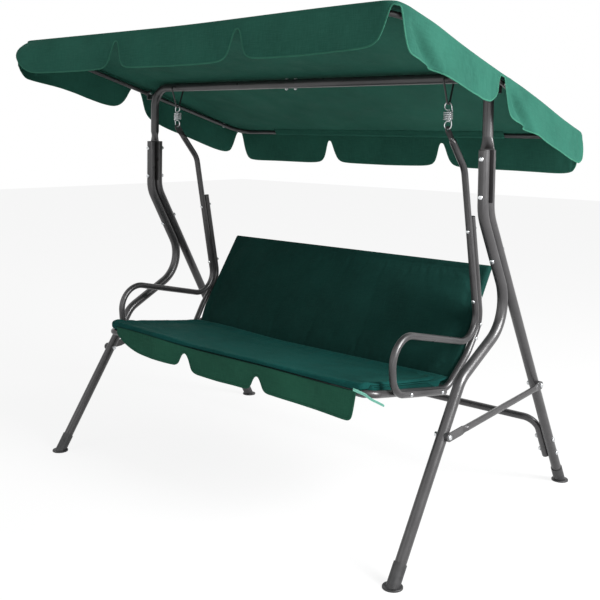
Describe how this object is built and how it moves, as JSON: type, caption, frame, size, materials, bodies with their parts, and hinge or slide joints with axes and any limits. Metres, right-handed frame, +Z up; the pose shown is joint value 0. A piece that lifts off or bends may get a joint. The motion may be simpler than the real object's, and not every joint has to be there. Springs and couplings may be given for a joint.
{
  "type": "canopy swing bench",
  "caption": "Padded bench hung by springs and bent arms from a tubular stand, under a tilting fabric canopy with scalloped edges.",
  "frame": {"origin": "bottom centre of the bounding box, on the ground", "axes": "+X to the right along the bench seen from the front, -Y to the front, +Z up"},
  "size_m": [1.6552, 1.1692, 1.5242],
  "materials": {
    "paint": "satin",
    "rod": "satin",
    "zinc": "satin",
    "plastic": "matte",
    "fabric": "matte"
  },
  "bodies": {
    "frame": {"front_leg_left": "paint", "front_leg_right": "paint", "rear_leg_left": "paint", "rear_leg_right": "paint", "foot_front_left": "plastic", "foot_front_right": "plastic", "foot_rear_left": "plastic", "foot_rear_right": "plastic", "leg_top_caps": "plastic", "top_bar_left": "paint", "top_bar_right": "paint", "top_bar_bolts": "zinc", "hanger_vee_left": "rod", "hanger_vee_right": "rod", "leg_bolts_left": "zinc", "leg_bolts_right": "zinc", "side_brace_left": "paint", "side_brace_right": "paint", "brace_saddles": "plastic", "brace_bolts": "zinc", "rear_stretcher": "paint", "stretcher_bolts": "zinc", "canopy_bracket_left": "paint", "canopy_bracket_right": "paint"},
    "hangers": {"spring_left": "zinc", "spring_right": "zinc"},
    "seat": {"hanger_arm_left": "paint", "hanger_arm_right": "paint", "side_tube_left": "paint", "side_tube_right": "paint", "arm_end_caps": "plastic", "side_tube_caps": "plastic", "arm_bolts": "zinc", "seat_bolts": "zinc", "seat_front_rail": "paint", "seat_cross_rail": "paint", "back_frame": "paint", "back_frame_caps": "plastic", "back_spacers": "plastic", "back_bolts": "zinc", "seat_cushion": "fabric", "back_cushion": "fabric", "seat_valance": "fabric", "seat_ties": "fabric"},
    "canopy": {"canopy_side_bar_left": "paint", "canopy_side_bar_right": "paint", "canopy_front_bar": "paint", "canopy_rear_bar": "paint", "canopy_pivot_bolts": "zinc", "canopy_washers": "plastic", "canopy_screws": "zinc", "canopy_cover": "fabric"}
  },
  "joints": [
    {"name": "seat_swing", "type": "hinge", "parent": "frame", "child": "hangers", "pos_m": [0, -0.01337, 1.308], "axis": [1, 0, 0], "range_deg": [-18, 18]},
    {"name": "seat_bounce", "type": "slide", "parent": "hangers", "child": "seat", "axis": [0, 0, 1], "range_m": [-0.02, 0], "stiffness_N_per_m": 54000, "springref_m": 0.005, "deforming": ["spring_left", "spring_right"]},
    {"name": "canopy_tilt", "type": "hinge", "parent": "frame", "child": "canopy", "pos_m": [0, -0.01337, 1.3585], "axis": [1, 0, 0], "range_deg": [-12, 32]}
  ]
}
